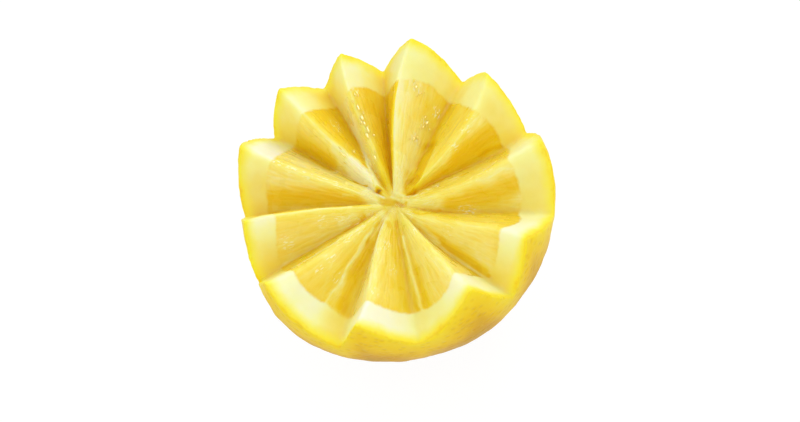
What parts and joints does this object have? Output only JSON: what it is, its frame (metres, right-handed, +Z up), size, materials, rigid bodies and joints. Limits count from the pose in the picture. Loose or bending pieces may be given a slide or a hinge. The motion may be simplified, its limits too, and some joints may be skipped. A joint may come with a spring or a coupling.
{
  "type": "lemon half",
  "caption": "Half a lemon with a zigzag crown cut, its juicy segments and thick pale pith showing, standing on its stem end.",
  "frame": {"origin": "middle of the flat scar on the stem end, which the half rests on", "axes": "+Z up along the fruit's axis, out of the cut face; -Y faces the front view"},
  "size_m": [0.0601, 0.0628, 0.0446],
  "materials": {
    "peel": "waxy lemon skin, softly glossy, with small oil pores",
    "pulp": "wet translucent lemon pulp with pale membranes"
  },
  "bodies": {
    "root": {"lemon_half": "peel"}
  },
  "joints": []
}
